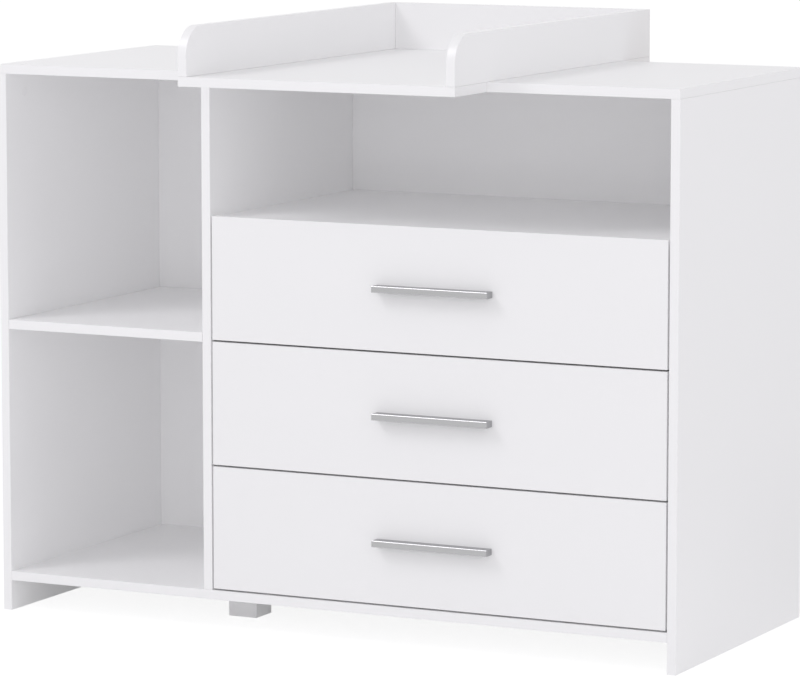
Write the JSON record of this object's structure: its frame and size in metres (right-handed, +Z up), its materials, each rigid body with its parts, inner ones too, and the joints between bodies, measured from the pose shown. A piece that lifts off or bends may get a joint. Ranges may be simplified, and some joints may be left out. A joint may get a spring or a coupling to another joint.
{
  "type": "changing dresser",
  "caption": "White dresser with drawers under an open niche, an open shelf column at the left and a lift-off baby-changing tray on its top.",
  "frame": {"origin": "on the floor under the middle of the cabinet", "axes": "+X to the right along the width, seen from the front; +Y from the front to the back; +Z up"},
  "size_m": [1.25, 0.78, 1.019],
  "materials": {
    "white_melamine_board": "smooth satin white melamine on board, with white edge banding",
    "white_thin_sheet": "thin hardboard with a smooth white lacquered face",
    "satin_metal": "satin grey metal with bright bevelled edges",
    "zinc_plated_steel": "bright zinc plating",
    "white_plastic": "smooth moulded white plastic",
    "beech": "bare fluted beech"
  },
  "bodies": {
    "cabinet": {"back_joining_strip": "white_plastic", "back_panel_left": "white_thin_sheet", "back_panel_right": "white_thin_sheet", "bottom_cabinet_rails": "zinc_plated_steel", "bottom_panel": "white_melamine_board", "cam_covers": "white_plastic", "carcass_cam_bolts": "zinc_plated_steel", "carcass_cams": "zinc_plated_steel", "carcass_dowels": "beech", "divider_panel": "white_melamine_board", "front_centre_foot": "white_plastic", "left_shelf": "white_melamine_board", "left_side_panel": "white_melamine_board", "middle_cabinet_rails": "zinc_plated_steel", "niche_shelf": "white_melamine_board", "rear_centre_foot": "white_plastic", "right_side_panel": "white_melamine_board", "shelf_pins": "white_plastic", "top_cabinet_rails": "zinc_plated_steel", "top_panel": "white_melamine_board"},
    "changing_tray": {"tray_back": "white_melamine_board", "tray_dowels": "beech", "tray_front_board": "white_melamine_board", "tray_left_side": "white_melamine_board", "tray_rear_board": "white_melamine_board", "tray_right_side": "white_melamine_board"},
    "bottom_drawer": {"bottom_drawer_back": "white_melamine_board", "bottom_drawer_bottom": "white_thin_sheet", "bottom_drawer_cam_fittings": "zinc_plated_steel", "bottom_drawer_dowels": "beech", "bottom_drawer_front": "white_melamine_board", "bottom_drawer_handle": "satin_metal", "bottom_drawer_handle_screws": "zinc_plated_steel", "bottom_drawer_left_side": "white_melamine_board", "bottom_drawer_rails": "zinc_plated_steel", "bottom_drawer_right_side": "white_melamine_board"},
    "bottom_telescope": {"bottom_telescope_rails": "zinc_plated_steel"},
    "middle_drawer": {"middle_drawer_back": "white_melamine_board", "middle_drawer_bottom": "white_thin_sheet", "middle_drawer_cam_fittings": "zinc_plated_steel", "middle_drawer_dowels": "beech", "middle_drawer_front": "white_melamine_board", "middle_drawer_handle": "satin_metal", "middle_drawer_handle_screws": "zinc_plated_steel", "middle_drawer_left_side": "white_melamine_board", "middle_drawer_rails": "zinc_plated_steel", "middle_drawer_right_side": "white_melamine_board"},
    "middle_telescope": {"middle_telescope_rails": "zinc_plated_steel"},
    "top_drawer": {"top_drawer_back": "white_melamine_board", "top_drawer_bottom": "white_thin_sheet", "top_drawer_cam_fittings": "zinc_plated_steel", "top_drawer_dowels": "beech", "top_drawer_front": "white_melamine_board", "top_drawer_handle": "satin_metal", "top_drawer_handle_screws": "zinc_plated_steel", "top_drawer_left_side": "white_melamine_board", "top_drawer_rails": "zinc_plated_steel", "top_drawer_right_side": "white_melamine_board"},
    "top_telescope": {"top_telescope_rails": "zinc_plated_steel"}
  },
  "joints": [
    {"name": "bottom_drawer_slide", "type": "slide", "parent": "cabinet", "child": "bottom_drawer", "axis": [0, -1, 0], "range_m": [0, 0.45]},
    {"name": "bottom_telescope_slide", "type": "slide", "parent": "cabinet", "child": "bottom_telescope", "axis": [0, -1, 0], "range_m": [0, 0.225]},
    {"name": "middle_drawer_slide", "type": "slide", "parent": "cabinet", "child": "middle_drawer", "axis": [0, -1, 0], "range_m": [0, 0.45]},
    {"name": "middle_telescope_slide", "type": "slide", "parent": "cabinet", "child": "middle_telescope", "axis": [0, -1, 0], "range_m": [0, 0.225]},
    {"name": "top_drawer_slide", "type": "slide", "parent": "cabinet", "child": "top_drawer", "axis": [0, -1, 0], "range_m": [0, 0.45]},
    {"name": "top_telescope_slide", "type": "slide", "parent": "cabinet", "child": "top_telescope", "axis": [0, -1, 0], "range_m": [0, 0.225]},
    {"name": "tray_lift", "type": "slide", "parent": "cabinet", "child": "changing_tray", "axis": [0, 0, 1], "range_m": [0, 0.15]}
  ],
  "couplings": [
    {"joint": "bottom_telescope_slide", "follows": "bottom_drawer_slide", "ratio": 0.5},
    {"joint": "middle_telescope_slide", "follows": "middle_drawer_slide", "ratio": 0.5},
    {"joint": "top_telescope_slide", "follows": "top_drawer_slide", "ratio": 0.5}
  ]
}
